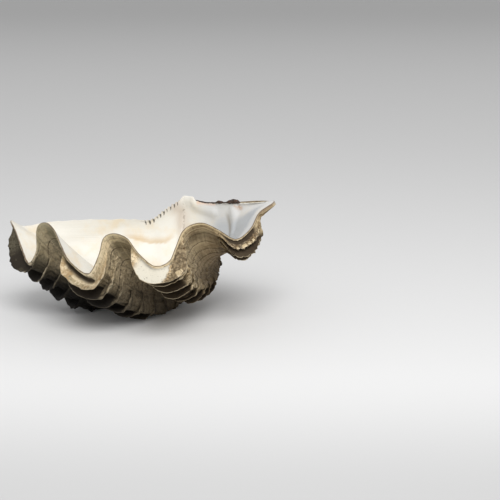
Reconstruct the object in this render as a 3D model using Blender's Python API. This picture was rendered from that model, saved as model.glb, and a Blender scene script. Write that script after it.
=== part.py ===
"""Giant clam shell: one half (the left valve) of a small giant clam, lying hollow side up.

The valve is drawn in millimetres, x along the hinge to the right, y back toward the hinge and
z up. It grows as a shell does: the wavy rim is turned about the hinge and shrunk toward the beak,
so that every earlier rim is a ring on the outside. Scutes, the leaf-like scales, stand on the
ribs. The finished solids are in metres, with the origin on the floor under the middle of the box.
"""

import math

import bmesh
import bpy
import numpy as np
from mathutils import Vector
from mathutils.bvhtree import BVHTree

MM = 0.001
OBJECT_NAME = "giant_clam_shell"

# The point of the drawing that becomes the part's origin: middle of the box, on the floor
ORIGIN = (-1.28, 2.53, -12.5)

# Rim of the valve, from the right-hand tongue round the front, the left tip and the back edge
# to the hinge. A tongue stands up between two ribs. Each point is where the rim turns.
RIM = {
    "tongue D": ((91, -68, 108), (73, -74, 117), (55, -80, 111)),
    "rib 3": ((46, -93, 93), (39, -100, 79), (22, -104, 74), (6, -97, 84), (-3, -90, 93)),
    "tongue C": ((-11, -84, 102), (-25, -79, 106), (-36, -79, 101)),
    "rib 2": ((-41, -84, 83), (-54, -88, 61), (-77, -74, 72), (-87, -65, 87)),
    "tongue B": ((-97, -54, 105), (-108, -45, 111), (-118, -39, 103)),
    "rib 1": ((-121, -33, 75), (-134, -17, 55), (-145, 1, 70), (-153, 12, 87)),
    "left tip": ((-160, 21, 98), (-157, 32, 94), (-148, 46, 86)),
    "back edge": ((-121, 61, 88), (-68, 73, 89), (-20, 82, 87), (2, 85, 86)),
    "gape": ((18, 87, 96), (37, 91, 108)),
    "hinge": ((48, 95, 111), (72, 78, 109), (98, 58, 113), (128, 36, 118)),
    "right tip": ((158, 12, 124), (140, -6, 114)),
    "rib 4": ((130, -24, 99), (112, -50, 92)),
}
RIM_STATIONS = 960
CURVE_STEPS = 24

# Growth: the rim turns about the hinge axis through the beak while it shrinks toward the beak
BEAK = np.array((47.0, 92.0, 104.0))
HINGE_AXIS = np.array((0.83, -0.54, 0.16)) / math.hypot(0.83, 0.54, 0.16)
GROWTH_RADIUS = 176.0
GROWTH_START = -0.35
GROWTH_END = math.radians(152)
GROWTH_RATE = 1.70
CURL_POWER = 2.6
SECTION_STEPS = 2400
FOLD_REACH = 48.0
FOLD_POWER = 2.1
RING_STEP = 2.0
NORMAL_STATIONS = 3
BEYOND_RIM = -12.0
HINGE_EDGE = 30.0

# From the hinge line to the umbo, the tip of the spiral on the back
UMBO_SHIFT = np.array((6.0, 12.0, -9.0))

# Scutes on each rib: the first one's distance from the rim, reach outward and lean away from
# the rim, then the distance between the others, their reach and its gain from one to the next
SCUTES = {
    "rib 3": (4, 21, 0, 17, 15, 0),
    "rib 2": (10, 14, -4, 16, 18, 0),
    "rib 1": (6, 9, -3, 16, 12, 4),
    "left tip": (3, 4, -1, 16, 9, 3),
    "rib 4": (7, 14, -3, 14, 20, 0),
}
SCUTE_ROWS = 10
SCUTE_GAINS = 3
SCUTE_SPREAD = 0.045
SCUTE_LEAN = -0.42
SCUTE_FOOT = 3.5
SCUTE_FOOT_HEIGHT = 0.22
LEDGE_STEP = 1.1

# What the first scute gains between the left tip and rib 1
LEFT_CUP = 9.0

# Older scutes are worn shorter, between these distances from the rim
SCUTE_WEAR = 0.72
WEAR_RANGE = (90.0, 250.0)

# Crust fills the gaps between older scutes to this share of their height
CRUST_FILL = 0.55
CRUST_RANGE = (14.0, 60.0)

# Height of the folds, down from the middle of the rim, over which the scutes rise, and what both
# gain on older growth
RIB_FOLDS = (-9.0, 13.0)
RIB_NARROWS = (10.0, 5.0)
RIB_NARROW_END = 90.0

# Stations over which one stretch of the rim turns into the next
SHORT_CHANGE = 0.02
LONG_CHANGE = 0.03
BACK_CHANGE = 0.06

# Wall of the valve: at the rim, what it gains near the rim, and what it gains down the bowl
RIM_WALL = 1.6
NEAR_WALL = 4.5
NEAR_RANGE = (0.0, 40.0)
DEEP_WALL = 8.0
DEEP_RANGE = (20.0, 150.0)
LEAST_WALL = 0.6
WALL_PASSES = 2
SKIN_STEP = 4

# The folds fade down the bowl, which is deepest at its middle and steep at the back
BOWL_MIDDLE = np.array((24.0, 22.0, 20.0))
BOWL_REACH = 175.0
FOLDS_FADE = (0.0, 130.0)
BOWL_TURN = (0.35, 1.0)
BOWL_TURN_POWER = 1.3
BACK_INWARD_POWER = 1.5
BACK_DOWNWARD_POWER = 1.9
BACK_STEEP_RANGE = (0.0, 0.08)
SMOOTHING_PASSES = 4
SMOOTHING_RANGE = (0.05, 0.5)
SMOOTHING_STRENGTH = 0.6

COLUMNS = 92
BACK_SPACING = 0.42
INNER_ROWS = 11
UMBO_ROWS = 4
UMBO_OVERLAP = 4.0
UMBO_END = 5.0

# Dark remnant of the ligament on the hinge line: place along the hinge and radius
LIGAMENT_POINTS = ((0.11, 0.8), (0.22, 0.9), (0.33, 0.9), (0.365, 1.9), (0.40, 1.7), (0.44, 1.0),
                   (0.48, 1.6), (0.53, 3.2), (0.575, 2.6), (0.61, 0.9))
LIGAMENT_GAP = 0.35
LIGAMENT_BEVEL_STEPS = 2

VALVE_COLOUR = (0.62, 0.58, 0.49, 1.0)
VALVE_ROUGHNESS = 0.65
LIGAMENT_COLOUR = (0.045, 0.028, 0.018, 1.0)
LIGAMENT_ROUGHNESS = 0.5
SHARP_EDGE = math.radians(50)

# Points nearer to the floor or to each other than these are taken as on it or as one, in metres
FLOOR_TOLERANCE = 1e-6
SAME_POINT = 1e-5


def blend(start, end, share):
    return start + (end - start) * share


def ease(start, end, value):
    """0 before start, 1 after end, smooth between."""
    share = np.clip((value - start) / (end - start), 0, 1)
    return share * share * (3 - 2 * share)


def unit(vectors):
    return vectors / np.maximum(np.linalg.norm(vectors, axis=-1, keepdims=True), 1e-9)


def turned(vectors, axis, angle):
    """Vectors turned about an axis through the origin."""
    along = (vectors @ axis)[..., None] * axis
    return along + (vectors - along) * math.cos(angle) + np.cross(axis, vectors) * math.sin(angle)


def smooth_closed_curve(points, count):
    """Evenly spaced points on a smooth closed curve, and each given point's share of its length."""
    share = np.linspace(0, 1, CURVE_STEPS, endpoint=False)[:, None]
    pieces = []
    for i, start in enumerate(points):
        before = points[i - 1]
        end = points[(i + 1) % len(points)]
        after = points[(i + 2) % len(points)]
        bend = 2 * before - 5 * start + 4 * end - after
        twist = 3 * start - before - 3 * end + after
        pieces.append(start + 0.5 * ((end - before) * share + bend * share**2 + twist * share**3))
    fine = np.vstack(pieces + [pieces[0][:1]])
    length = np.append(0, np.cumsum(np.linalg.norm(np.diff(fine, axis=0), axis=1)))
    at = np.linspace(0, length[-1], count, endpoint=False)
    loop = np.stack([np.interp(at, length, fine[:, k]) for k in range(3)], axis=1)
    return loop, length[-1], length[:-1:CURVE_STEPS] / length[-1]


def smoothed_loop(loop, reach, length):
    """The closed loop without its waves shorter than the reach."""
    frequency = np.fft.fftfreq(len(loop), length / len(loop))
    kept = np.exp(-2 * (np.pi * frequency * reach) ** 2)
    return np.fft.ifft(np.fft.fft(loop, axis=0) * kept[:, None], axis=0).real


class Growth:
    """Rings of the growing shell, by station along the rim and distance from the rim."""

    def __init__(self):
        points = np.array([point for stretch in RIM.values() for point in stretch], float)
        self.rim, length, shares = smooth_closed_curve(points, RIM_STATIONS)
        self.stations = np.arange(RIM_STATIONS) / RIM_STATIONS
        self.start = {}
        self.middle = {}
        first = 0
        for name, stretch in RIM.items():
            lowest = min(range(len(stretch)), key=lambda i: stretch[i][2])
            self.start[name] = shares[first]
            self.middle[name] = shares[first + lowest]
            first += len(stretch)
        self.core = smoothed_loop(self.rim, FOLD_REACH, length)
        self.fold = self.rim - self.core
        self.hinge = self.between("hinge", "right tip", SHORT_CHANGE)
        low = self.middle["rib 1"]
        high = self.start["left tip"]
        self.left_flank = ease(low, low + SHORT_CHANGE, self.stations)
        self.left_flank *= 1 - ease(high - SHORT_CHANGE, high, self.stations)
        self.make_section()
        self.distances = np.arange(BEYOND_RIM, self.end, RING_STEP)
        self.rings = {}
        self.normals = {}
        for name, share in (("folded", 1.0), ("half folded", 0.5), ("smooth", 0.0)):
            rings = np.array([self.ring(distance, share) for distance in self.distances])
            self.rings[name] = rings
            self.normals[name] = self.outward(rings)

    def between(self, first, last, softness):
        """1 from the start of one stretch to the start of another, easing to 0 outside."""
        rise = ease(self.start[first] - softness, self.start[first] + softness, self.stations)
        fall = ease(self.start[last] - softness, self.start[last] + softness, self.stations)
        return rise * (1 - fall)

    def make_section(self):
        """The growth curve in section: angle and size by distance from the rim."""
        self.angle = np.linspace(GROWTH_START, GROWTH_END, SECTION_STEPS)
        curl = 1 - np.clip(self.angle / GROWTH_END, 0, 1) ** CURL_POWER
        self.size = np.exp(-self.angle / GROWTH_RATE) * curl
        across = GROWTH_RADIUS * self.size * np.cos(self.angle)
        down = GROWTH_RADIUS * self.size * np.sin(self.angle)
        steps = np.hypot(np.diff(across), np.diff(down))
        self.distance = np.append(0, np.cumsum(steps))
        self.distance -= np.interp(0, self.angle, self.distance)
        self.end = self.distance[-1]

    def ring(self, distance, fold_share):
        angle = np.interp(distance, self.distance, self.angle)
        size = np.interp(distance, self.distance, self.size)
        arms = (self.core - BEAK) * size + self.fold * fold_share * size**FOLD_POWER
        along = (arms @ HINGE_AXIS)[:, None] * HINGE_AXIS
        straight = self.hinge * ease(0, HINGE_EDGE, distance)
        arms = along + (arms - along) * (1 - straight[:, None])
        centre = BEAK + UMBO_SHIFT * distance / self.end
        return centre + turned(arms, HINGE_AXIS, angle)

    def outward(self, rings):
        inward_growth = np.gradient(rings, axis=0)
        ahead = np.roll(rings, -NORMAL_STATIONS, axis=1)
        along_rim = ahead - np.roll(rings, NORMAL_STATIONS, axis=1)
        return unit(np.cross(along_rim, inward_growth))

    def at(self, name, columns, distance):
        """Points and outward normals at one distance for each column."""
        place = np.clip((distance - self.distances[0]) / RING_STEP, 0, len(self.distances) - 1.001)
        ring = place.astype(int)
        share = (place - ring)[:, None]
        points = blend(self.rings[name][ring, columns], self.rings[name][ring + 1, columns], share)
        normals = blend(self.normals[name][ring, columns], self.normals[name][ring + 1, columns],
                        share)
        return points, unit(normals)


def rib_values(growth, columns):
    """The numbers of the scute table for each column, easing from rib to rib."""
    ribs = sorted(SCUTES, key=lambda name: growth.middle[name])
    middles = [growth.middle[name] for name in ribs]
    values = [np.array(SCUTES[name], float)[:, None] for name in ribs]
    middles = middles + [middles[0] + 1]
    values = values + [values[0]]
    stations = growth.stations[columns]
    result = values[0] * np.ones(len(columns))
    for i in range(1, len(values)):
        change = (middles[i - 1] + middles[i]) / 2
        result = blend(result, values[i], ease(change - SHORT_CHANGE, change + SHORT_CHANGE,
                                               stations))
    return result


def rib_share(growth, columns, distance):
    """1 on the crest of the ribs and 0 on the tongues and the plain back."""
    age = ease(0, RIB_NARROW_END, distance)
    low = RIB_FOLDS[0] + RIB_NARROWS[0] * age
    high = RIB_FOLDS[1] + RIB_NARROWS[1] * age
    share = ease(low, high, -growth.fold[columns, 2])
    share = np.maximum(share, growth.left_flank[columns])
    plain = np.maximum(growth.hinge, growth.between("left tip", "right tip", LONG_CHANGE))
    return share * (1 - plain[columns])


def outer_rows(growth, columns):
    """Rows of points from the rim over the scutes to the beak."""
    rows = []

    def add_row(distance, height):
        """A row that stands up to the height on the ribs and lies on the surface elsewhere."""
        points, _ = growth.at("folded", columns, distance)
        _, normals = growth.at("half folded", columns, distance)
        rib = rib_share(growth, columns, distance)
        rows.append(points + normals * (rib * height)[:, None])

    level = np.zeros(len(columns))
    add_row(level, level)
    root, first_reach, lean, pitch, next_reach, gain = rib_values(growth, columns)
    reach = first_reach + LEFT_CUP * growth.left_flank[columns]
    crust = level
    for k in range(SCUTE_ROWS):
        rib = rib_share(growth, columns, root)
        add_row(root, crust)
        add_row(root + blend(LEDGE_STEP, lean, rib), reach)
        crust = reach * CRUST_FILL * ease(*CRUST_RANGE, root)
        foot = np.maximum(reach * SCUTE_FOOT_HEIGHT, crust)
        add_row(root + blend(2 * LEDGE_STEP, SCUTE_FOOT, rib), foot)
        root = root + pitch * (1 + SCUTE_SPREAD * k)
        wear = 1 - SCUTE_WEAR * ease(*WEAR_RANGE, root)
        reach = (next_reach + gain * min(k, SCUTE_GAINS)) * wear
        lean = SCUTE_LEAN * reach
    for share in np.linspace(0, 1, UMBO_ROWS + 2)[1:-1]:
        add_row(blend(root - UMBO_OVERLAP, growth.end - UMBO_END, share), level)
    return rows


def outer_skin(growth, columns):
    """The outside without its scutes, as a tree that answers for the nearest point."""
    rings = growth.rings["folded"][::SKIN_STEP, columns]
    count = len(columns)
    faces = []
    for i in range(len(rings) - 1):
        for j in range(count):
            k = (j + 1) % count
            faces.append((i * count + j, i * count + k, (i + 1) * count + k, (i + 1) * count + j))
    return BVHTree.FromPolygons(rings.reshape(-1, 3).tolist(), faces)


def keep_wall(points, wall, skin):
    """Moves points inward until each has the wall between it and the outside."""
    kept = []
    for point in points:
        place = Vector(point)
        nearest, outward, _, _ = skin.find_nearest(place)
        depth = (nearest - place).length
        if (nearest - place).dot(outward) < 0:
            depth = -depth
        if depth < wall:
            place = nearest - outward * wall
        kept.append(place)
    return np.array(kept)


def inner_rows(growth, columns):
    """Rows of points from the rim down the inside to the middle of the bowl."""
    skin = outer_skin(growth, columns)
    back = growth.between("back edge", "rib 4", BACK_CHANGE)[columns][:, None]
    rim = growth.rim[columns]
    rows = []
    for share in np.linspace(0, 1, INNER_ROWS, endpoint=False):
        distance = np.full(len(columns), BOWL_REACH * share)
        folded, folded_normals = growth.at("folded", columns, distance)
        smooth, smooth_normals = growth.at("smooth", columns, distance)
        fading = ease(*FOLDS_FADE, BOWL_REACH * share)
        wall = RIM_WALL + NEAR_WALL * ease(*NEAR_RANGE, BOWL_REACH * share)
        wall += DEEP_WALL * ease(*DEEP_RANGE, BOWL_REACH * share)
        normals = unit(blend(folded_normals, smooth_normals, fading))
        front = blend(folded, smooth, fading) - normals * wall
        front = blend(front, BOWL_MIDDLE, ease(*BOWL_TURN, share) ** BOWL_TURN_POWER)
        inward = share**BACK_INWARD_POWER
        downward = 1 - (1 - share) ** BACK_DOWNWARD_POWER
        steep = blend(rim, BOWL_MIDDLE, np.array((inward, inward, downward)))
        points = blend(front, steep, back * ease(*BACK_STEEP_RANGE, share))
        for _ in range(WALL_PASSES):
            points = keep_wall(points, wall * blend(1.0, LEAST_WALL, share), skin)
        rows.append(points)
    return smoothed_rows(np.array(rows))


def smoothed_rows(rows):
    """Rows with each point drawn toward its neighbours, more so away from the rim."""
    place = np.arange(len(rows)) / len(rows)
    strength = SMOOTHING_STRENGTH * ease(*SMOOTHING_RANGE, place)[1:-1, None, None]
    for _ in range(SMOOTHING_PASSES):
        beside = np.roll(rows, 1, axis=1) + np.roll(rows, -1, axis=1)
        middle = (rows[:-2] + rows[2:] + beside[1:-1]) / 4
        rows[1:-1] = blend(rows[1:-1], middle, strength)
    return list(rows)


def rim_columns(growth):
    """Stations of the mesh columns, wider apart on the plain back edge."""
    plain = growth.between("left tip", "hinge", LONG_CHANGE)
    share = np.cumsum(blend(1.0, BACK_SPACING, plain))
    wanted = (np.arange(COLUMNS) + 0.5) / COLUMNS
    columns = np.searchsorted(share / share[-1], wanted)
    for name in ("left tip", "hinge", "right tip"):
        corner = round(growth.start[name] * RIM_STATIONS)
        columns[np.abs(columns - corner).argmin()] = corner
    return columns


def placed(points):
    """Points of the drawing in the part's frame, in metres."""
    return (points - ORIGIN) * MM


def sphere_place(vertex, columns, rings):
    """Column and ring of a vertex of a sphere of radius 1, the ring counted from its top."""
    ring = round(math.acos(max(-1.0, min(1.0, vertex.co.z))) / math.pi * (rings + 1)) - 1
    column = round(math.atan2(vertex.co.y, vertex.co.x) / (2 * math.pi) * columns) % columns
    return column, ring


def wear_flat(form):
    """Cuts off what reaches below the floor, so that the lowest scutes rest on small flats."""
    everything = form.verts[:] + form.edges[:] + form.faces[:]
    cut = bmesh.ops.bisect_plane(form, geom=everything, dist=FLOOR_TOLERANCE,
                                 plane_co=(0, 0, 0), plane_no=(0, 0, 1), clear_inner=True)
    outline = [edge for edge in cut["geom_cut"] if isinstance(edge, bmesh.types.BMEdge)]
    bmesh.ops.holes_fill(form, edges=outline, sides=0)


def add_valve(collection, growth):
    """The valve is a sphere whose rings are moved onto the outside, the rim and the inside."""
    columns = rim_columns(growth)
    outside = outer_rows(growth, columns)
    inside = inner_rows(growth, columns)
    rows = [placed(row) for row in outside[::-1] + inside]
    umbo = placed(outside[-1].mean(axis=0))
    middle = placed(BOWL_MIDDLE)
    form = bmesh.new()
    bmesh.ops.create_uvsphere(form, u_segments=COLUMNS, v_segments=len(rows) + 1, radius=1.0)
    for vertex in form.verts:
        column, ring = sphere_place(vertex, COLUMNS, len(rows))
        if ring < 0:
            vertex.co = umbo
        elif ring >= len(rows):
            vertex.co = middle
        else:
            vertex.co = rows[ring][column]
    if form.calc_volume(signed=True) < 0:
        bmesh.ops.reverse_faces(form, faces=form.faces)
    wear_flat(form)
    mesh = bpy.data.meshes.new("valve")
    form.to_mesh(mesh)
    form.free()
    mesh.shade_smooth()
    mesh.set_sharp_from_angle(angle=SHARP_EDGE)
    valve = bpy.data.objects.new("valve", mesh)
    valve.data.materials.append(make_material("shell", VALVE_COLOUR, VALVE_ROUGHNESS))
    collection.objects.link(valve)


def add_ligament(collection, growth):
    """Remnant of the ligament: a lumpy cord that rests on the edge of the hinge."""
    first = growth.start["hinge"]
    last = growth.start["right tip"]
    curve = bpy.data.curves.new("ligament", "CURVE")
    curve.dimensions = "3D"
    curve.bevel_depth = MM
    curve.bevel_resolution = LIGAMENT_BEVEL_STEPS
    curve.use_fill_caps = True
    spline = curve.splines.new("POLY")
    spline.points.add(len(LIGAMENT_POINTS) - 1)
    for point, (along, radius) in zip(spline.points, LIGAMENT_POINTS):
        station = int(blend(first, last, along) * RIM_STATIONS)
        place = growth.rim[station] - ORIGIN + np.array((0, 0, radius + LIGAMENT_GAP))
        point.co = (*(place * MM), 1.0)
        point.radius = radius
    guide = bpy.data.objects.new("ligament_guide", curve)
    collection.objects.link(guide)
    bpy.context.view_layer.update()
    seen = bpy.context.evaluated_depsgraph_get()
    mesh = bpy.data.meshes.new_from_object(guide.evaluated_get(seen))
    bpy.data.objects.remove(guide)
    form = bmesh.new()
    form.from_mesh(mesh)
    bmesh.ops.remove_doubles(form, verts=form.verts, dist=SAME_POINT)
    bmesh.ops.recalc_face_normals(form, faces=form.faces)
    form.to_mesh(mesh)
    form.free()
    mesh.shade_smooth()
    ligament = bpy.data.objects.new("ligament", mesh)
    material = make_material("ligament", LIGAMENT_COLOUR, LIGAMENT_ROUGHNESS)
    ligament.data.materials.append(material)
    collection.objects.link(ligament)


def make_material(name, colour, roughness):
    material = bpy.data.materials.new(name)
    material.use_nodes = True
    shader = material.node_tree.nodes["Principled BSDF"]
    shader.inputs["Base Color"].default_value = colour
    shader.inputs["Roughness"].default_value = roughness
    shader.inputs["Metallic"].default_value = 0.0
    return material


def main():
    for thing in list(bpy.data.objects):
        bpy.data.objects.remove(thing)
    collection = bpy.data.collections.new(OBJECT_NAME)
    bpy.context.scene.collection.children.link(collection)
    growth = Growth()
    add_valve(collection, growth)
    add_ligament(collection, growth)


main()
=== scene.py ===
"""Giant clam shell, dressed: the left valve lying hollow side up, seen as in the photograph.

The valve is drawn in millimetres, x along the hinge to the right, y back toward the hinge and
z up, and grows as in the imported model: the wavy rim is turned about the hinge and shrunk toward
the beak. Here each scute has a thin broken lip, and the finish follows the growth of the shell.
"""

import math

import bpy
import numpy as np
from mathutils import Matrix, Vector
from mathutils.bvhtree import BVHTree


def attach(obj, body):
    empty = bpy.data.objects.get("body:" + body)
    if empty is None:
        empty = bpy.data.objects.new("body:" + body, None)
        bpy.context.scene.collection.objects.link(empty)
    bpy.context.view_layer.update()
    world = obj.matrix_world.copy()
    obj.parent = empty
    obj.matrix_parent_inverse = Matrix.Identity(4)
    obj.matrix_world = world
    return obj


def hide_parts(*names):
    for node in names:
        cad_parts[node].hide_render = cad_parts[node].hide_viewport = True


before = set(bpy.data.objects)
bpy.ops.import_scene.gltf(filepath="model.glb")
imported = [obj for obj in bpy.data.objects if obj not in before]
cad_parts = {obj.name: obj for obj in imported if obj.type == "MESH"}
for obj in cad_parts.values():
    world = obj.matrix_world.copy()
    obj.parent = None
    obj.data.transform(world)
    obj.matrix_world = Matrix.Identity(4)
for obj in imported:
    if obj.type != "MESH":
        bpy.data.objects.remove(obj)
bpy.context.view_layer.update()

MM = 0.001
ORIGIN = (-1.28, 2.53, -12.5)

# Rim of the valve, from the right-hand tongue round the front, the left tip and the back edge
# to the hinge. A tongue stands up between two ribs. Each point is where the rim turns.
RIM = {
    "tongue D": ((91, -68, 108), (73, -74, 117), (55, -80, 111)),
    "rib 3": ((46, -93, 93), (39, -100, 79), (22, -104, 74), (6, -97, 84), (-3, -90, 93)),
    "tongue C": ((-11, -84, 102), (-25, -79, 106), (-36, -79, 101)),
    "rib 2": ((-41, -84, 83), (-54, -88, 61), (-77, -74, 72), (-87, -65, 87)),
    "tongue B": ((-97, -54, 105), (-108, -45, 111), (-118, -39, 103)),
    "rib 1": ((-121, -33, 75), (-134, -17, 55), (-145, 1, 70), (-153, 12, 87)),
    "left tip": ((-160, 21, 98), (-157, 32, 94), (-148, 46, 86)),
    "back edge": ((-121, 61, 88), (-68, 73, 89), (-20, 82, 87), (2, 85, 86)),
    "gape": ((18, 87, 96), (37, 91, 108)),
    "hinge": ((48, 95, 111), (72, 78, 109), (98, 58, 113), (128, 36, 118)),
    "right tip": ((158, 12, 124), (140, -6, 114)),
    "rib 4": ((130, -24, 99), (112, -50, 92)),
}
RIM_STATIONS = 960
CURVE_STEPS = 24

# How softly one stretch of the rim changes into the next, as shares of the whole rim
FRONT_CHANGE = 0.01
TIP_CHANGE = 0.012
SHORT_CHANGE = 0.02
LONG_CHANGE = 0.03
BACK_CHANGE = 0.06

# Growth: the rim turns about the hinge axis through the beak while it shrinks toward the beak
BEAK = np.array((47.0, 92.0, 104.0))
HINGE_AXIS = np.array((0.83, -0.54, 0.16)) / math.hypot(0.83, 0.54, 0.16)
GROWTH_RADIUS = 176.0
GROWTH_START = -0.35
GROWTH_END = math.radians(152)
GROWTH_RATE = 1.70
CURL_POWER = 2.6
SECTION_STEPS = 2400
FOLD_REACH = 48.0
FOLD_POWER = 2.1
RING_STEP = 2.0
BEYOND_RIM = -12.0
HINGE_EDGE = 30.0
UMBO_SHIFT = np.array((6.0, 12.0, -9.0))
NORMAL_STATIONS = 3

# Scutes on each rib: the first one's distance from the rim, reach outward and lean away from
# the rim, then the distance between the others, their reach and its gain from one to the next,
# and how far up the first one its pale face begins, over 1 where it has none
SCUTES = {
    "rib 3": (4, 21, 0, 17, 15, 0, 0.0),
    "rib 2": (10, 14, -4, 16, 18, 0, 0.32),
    "rib 1": (6, 9, -3, 16, 12, 4, 1.20),
    "left tip": (3, 4, -1, 16, 9, 3, 1.20),
    "rib 4": (5, 12, -3, 13, 20, 0, 0.40),
}
SCUTE_ROWS = 10
SCUTE_SPREAD = 0.045
SCUTE_WEAR = 0.72
WEAR_RANGE = (90, 250)
SCUTE_GAINS = 3

# What the first scute gains in reach between the left rib and the left tip, where it is a cup
LEFT_CUP = 9.0

# Height of the folds, down from the middle of the rim, over which the scutes rise: at the rim,
# and what the lower and upper end gain with age
RIB_FOLDS = (-9.0, 13.0)
RIB_NARROWS = (10.0, 5.0)
RIB_NARROW_END = 90.0
RIB_ROUNDNESS = 0.7
TIP_RIB = 0.5

# Flanks of the ribs toward the right: how steep the rim rises there
FLANK_STEEPNESS = (0.15, 0.7)

# One scute in section, from its root over its lip to its foot: distance as a ledge on the
# tongues in mm, distance and height on the ribs as shares of the reach
SCUTE_SECTION = (
    (0.0, 0.00, 0.00),
    (0.5, -0.18, 0.30),
    (0.8, -0.36, 0.68),
    (1.0, -0.46, 1.00),
    (1.2, -0.42, 1.06),
    (1.7, -0.34, 0.98),
    (2.6, -0.12, 0.62),
    (3.6, 0.06, 0.36),
    (5.5, 0.30, 0.16),
)
LIP_ROW = 4
LIP_VALUES = {LIP_ROW: 1.0, LIP_ROW + 1: 0.75}
LEDGE_HEIGHT = 0.45
LEDGE_START = 0.3

# Waves of the scutes round the rim: height, spacing in stations and seed. The reach has them as
# shares of itself, the distance from the rim in mm.
REACH_WAVES = ((0.12, 40, 100), (0.05, 9, 10), (0.04, 3, 40))
DISTANCE_WAVES = ((0.9, 14, 70),)

# Broken lips: how far they go up and down, in mm, at the front, from the right tip on, on the
# flanks and on the left cup
ROUGH_LIP = 0.3
ROUGH_RIGHT_LIP = 1.3
ROUGH_FLANK = 2.4
ROUGH_FLANK_RANGE = (0.0, 12.0)
ROUGH_CUP = 1.8
ROUGH_SPACING = 2.6
ROUGH_SEED = 300
SEEDS_PER_SCUTE = 20

# Lumps of crust, and the distances from the rim over which they begin: on the flanks and from
# the right tip on
LUMP_HEIGHT = 1.3
LUMP_SIZE = 1.5
FLANK_LUMP_RANGE = (6, 20)
RIGHT_LUMP_RANGE = (3, 6)

# Pale faces of the first scutes: how softly they begin, how pale one is that begins higher up,
# and where the one on rib 3 ends to the right, as a share of the rim, slanting with its height
PALE_CHANGE = 0.15
PALE_FACE = 0.55
PALE_FACE_RANGE = (0.0, 0.3)
PALE_END = (0.026, 0.036)
PALE_SLANT = 0.013

# Crust that fills the space between the scutes, as a share of their reach, and how much of the
# painted shade of the pockets the flanks lack
CRUST_FILL = 0.55
CRUST_START = 14.0
CRUST_END = 60.0
FLANK_FILL = 0.9
FLANK_SHADE_LOSS = 0.9

# Ligament, a lumpy dark cord: place along the hinge and radius
LIGAMENT_POINTS = ((0.105, 0.5), (0.13, 0.9), (0.22, 0.8), (0.33, 0.8), (0.352, 1.7), (0.37, 2.0),
                   (0.40, 1.5), (0.425, 0.9), (0.455, 0.9), (0.48, 1.7), (0.51, 2.7),
                   (0.54, 3.3), (0.57, 2.7), (0.59, 1.7), (0.61, 0.6))
LIGAMENT_RINGS = 150
LIGAMENT_SIDES = 20
LIGAMENT_SMOOTHING = 3
LIGAMENT_LIFT = 0.55
LIGAMENT_ACROSS = np.array((0.54, 0.83, 0.0))
LIGAMENT_UP = np.array((0.0, 0.0, 1.0))

# Its lumps: number round the cord, height as a share of the radius, and turn from ring to ring
LIGAMENT_LUMPS = ((2, 0.16, 0.21), (3, 0.10, -0.37))
LIGAMENT_GRAIN = 0.05
LIGAMENT_SEED = 31

# Soft swellings of the inside and the rim: from, to, reach and shift
SWELLS = (
    ((46, 93, 110), (56, 88, 110), 6, (0.0, -1.0, 4.4)),
    ((61, 86, 103), (82, 67, 99), 10, (-1.2, -3.6, 0.8)),
    ((108, 50, 106), (109, 38, 80), 10, (-2.0, -4.0, 0.0)),
)

# Swellings of the outside alone, which thicken the right tip
OUTER_SWELLS = (
    ((156, 11, 123), (143, -2, 115), 8, (0.8, -1.2, -2.8)),
)

# Marks and painted shade on the inside: a path through points of the drawing, and how far from it
# the mark fades
MARKS = {
    "crease_shade": (((95, 54, 104), (100, 52, 97), (103, 49, 90), (104, 42, 78)), 4.5),
    "stain": (((109, 48, 114), (117, 44, 109)), 5.0),
    "orange": (((63, 81, 109), (84, 68, 110)), 3.5),
    "specks": (((45, 92, 104), (45, 92, 90), (45, 87, 73)), 2.0),
    "shade": (((33, 88, 105), (42, 90, 92), (43, 88, 76)), 15.0),
}

# Scar that the mantle left on the back wall of the hollow: its lower edge and how sharp that is,
# over which heights above the edge it fades, and how far back it begins
SCAR_EDGE = ((-36, 68), (-15, 62), (3, 57), (22, 58), (38, 66))
SCAR_SHARPNESS = (-0.8, 0.8)
SCAR_WIDTH = (10.0, 1.0)
SCAR_BACK = (50, 60)

# Outer side of the left cup, by distance from the middle of rib 1 as a share of the rim
LEFT_SIDE_START = (0.028, 0.042)

# Teeth on the gape: distance between them, number, where they begin and end as counts of teeth,
# depth, how far they run down from the rim, and how far from the rim the painted shade in their gaps
# reaches
TOOTH_PITCH = 5.2
TEETH = 10.6
TEETH_BEFORE_GAPE = 5.6
TEETH_START = (0.1, 0.4)
TEETH_FADE = 0.3
TOOTH_GAP = 0.7
TOOTH_DEPTH = 3.2
TOOTH_RUN = 5.0
NOTCH_RANGE = (7.0, 2.5)

# Unevenness of the back edge in mm: height, spacing in stations and seed
BACK_WAVES = ((0.7, 16, 200), (0.5, 5, 201))

# Wall: its thickness at the rim, what it gains near the rim and deep in the shell, and over
# which distances. The least wall is a share of it, at the bottom of the hollow. It is measured
# from every second ring and every eighth station of the outside.
RIM_WALL = 1.6
NEAR_WALL = 4.5
NEAR_RANGE = (0, 40)
DEEP_WALL = 8.0
DEEP_RANGE = (20, 150)
LEAST_WALL = 0.6
WALL_PASSES = 2
TREE_RINGS = 2
TREE_STATIONS = 8

# Hollow: where it ends, how its folds fade and how it turns to its bottom, in front and behind
BOWL_MIDDLE = np.array((24.0, 22.0, 20.0))
BOWL_REACH = 175.0
FOLDS_FADE = (0, 130)
BOWL_TURN = (0.35, 1.0)
BOWL_TURN_POWER = 1.3
BACK_INWARD_POWER = 1.5
BACK_DOWNWARD_POWER = 1.9
BACK_STEEP_RANGE = (0.0, 0.08)
SMOOTHING_PASSES = 10
SMOOTHING_RANGE = (0.05, 0.5)
SMOOTHING_STRENGTH = 0.6

# Mesh: columns round the rim, wider apart on the plain back edge before the teeth, and rows
COLUMNS = 668
BACK_SPACING = 0.55
TEETH_LEAD = 0.06
INNER_ROWS = 48
INNER_ROW_POWER = 1.25
UMBO_ROWS = 10
UMBO_OVERLAP = 4.0
UMBO_END = 5.0

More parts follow.
